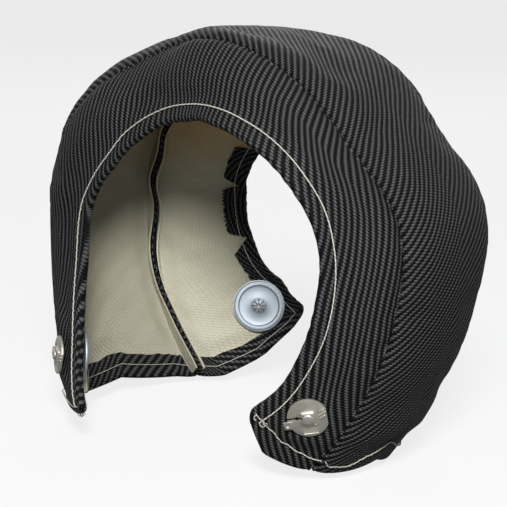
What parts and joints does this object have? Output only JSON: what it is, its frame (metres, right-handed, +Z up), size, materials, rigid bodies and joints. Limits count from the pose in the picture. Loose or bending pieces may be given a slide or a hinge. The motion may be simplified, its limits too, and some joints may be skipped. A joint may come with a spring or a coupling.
{
  "type": "turbo heat blanket",
  "caption": "C-shaped padded heat blanket for a turbine housing, sewn from side and rim panels with woven outer cloth, cream liner and lacing anchors at its ends.",
  "frame": {"origin": "centre of the footprint, on the surface that the ends stand on", "axes": "+X to the right and +Z up, seen from the front opening; +Y from the front opening to the rear opening"},
  "size_m": [0.2484, 0.1872, 0.2161],
  "materials": {
    "cover_cloth": "glossy twill of black fibre",
    "liner_cloth": "cream silica cloth, matt plain weave",
    "insulation_mat": "needled fibre mat",
    "sewing_thread": "matt twisted thread",
    "plate_steel": "stamped stainless sheet, dull",
    "pin_steel": "drawn stainless wire",
    "washer_steel": "stamped stainless sheet, pale"
  },
  "bodies": {
    "root": {"front_side_cover": "cover_cloth", "front_side_mat": "insulation_mat", "front_side_liner": "liner_cloth", "rear_side_cover": "cover_cloth", "rear_side_mat": "insulation_mat", "rear_side_liner": "liner_cloth", "rim_cover": "cover_cloth", "rim_mat": "insulation_mat", "rim_liner": "liner_cloth", "front_opening_thread": "sewing_thread", "rear_opening_thread": "sewing_thread", "left_end_thread": "sewing_thread", "right_end_thread": "sewing_thread", "front_left_hook_plate": "plate_steel", "front_left_pin": "pin_steel", "front_left_washer": "washer_steel", "front_right_hook_plate": "plate_steel", "front_right_pin": "pin_steel", "front_right_washer": "washer_steel", "rear_left_hook_plate": "plate_steel", "rear_left_pin": "pin_steel", "rear_left_washer": "washer_steel", "rear_right_hook_plate": "plate_steel", "rear_right_pin": "pin_steel", "rear_right_washer": "washer_steel"}
  },
  "joints": []
}
